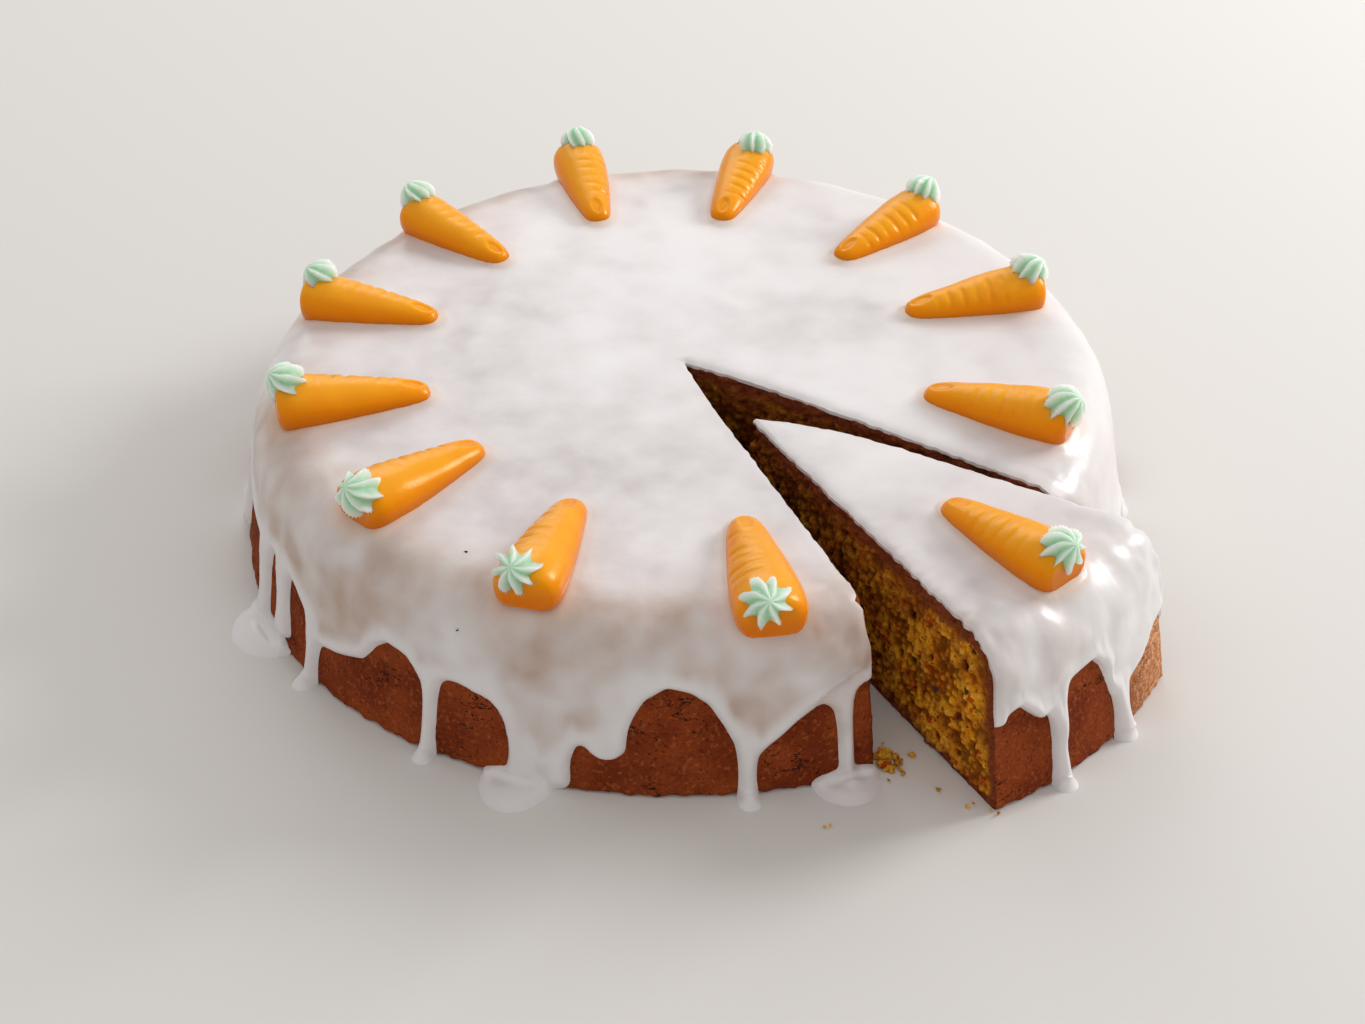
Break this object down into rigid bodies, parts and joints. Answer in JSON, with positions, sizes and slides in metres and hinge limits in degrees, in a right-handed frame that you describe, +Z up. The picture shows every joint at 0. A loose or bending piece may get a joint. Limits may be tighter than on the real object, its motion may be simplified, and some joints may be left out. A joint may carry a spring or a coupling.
{
  "type": "carrot cake",
  "caption": "Round iced carrot cake with poured drips, a ring of marzipan carrots with piped green tops, and a slice cut and partly drawn out",
  "frame": {"origin": "on the axis of the round cake, at the height of its foot", "axes": "+Z up, +X to the right and +Y away when the drawn-out slice lies to the front right"},
  "size_m": [0.2664, 0.2711, 0.0651],
  "materials": {
    "sponge": "baked crumb, golden inside, red-brown fine-grained crust",
    "icing": "poured sugar icing, satin, slightly translucent",
    "marzipan": "orange marzipan, smooth with a soft shine",
    "buttercream": "piped mint-green icing, soft satin"
  },
  "bodies": {
    "root": {"cake_sponge": "sponge", "cake_icing": "icing", "slice_sponge": "sponge", "slice_icing": "icing", "icing_puddle_1": "icing", "icing_puddle_2": "icing", "icing_puddle_3": "icing", "icing_puddle_4": "icing", "icing_puddle_5": "icing", "icing_puddle_6": "icing", "carrot_01": "marzipan", "carrot_02": "marzipan", "carrot_03": "marzipan", "carrot_04": "marzipan", "carrot_05": "marzipan", "carrot_06": "marzipan", "carrot_07": "marzipan", "carrot_08": "marzipan", "carrot_09": "marzipan", "carrot_10": "marzipan", "carrot_11": "marzipan", "carrot_12": "marzipan", "tuft_01": "buttercream", "tuft_02": "buttercream", "tuft_03": "buttercream", "tuft_04": "buttercream", "tuft_05": "buttercream", "tuft_06": "buttercream", "tuft_07": "buttercream", "tuft_08": "buttercream", "tuft_09": "buttercream", "tuft_10": "buttercream", "tuft_11": "buttercream", "tuft_12": "buttercream"}
  },
  "joints": []
}
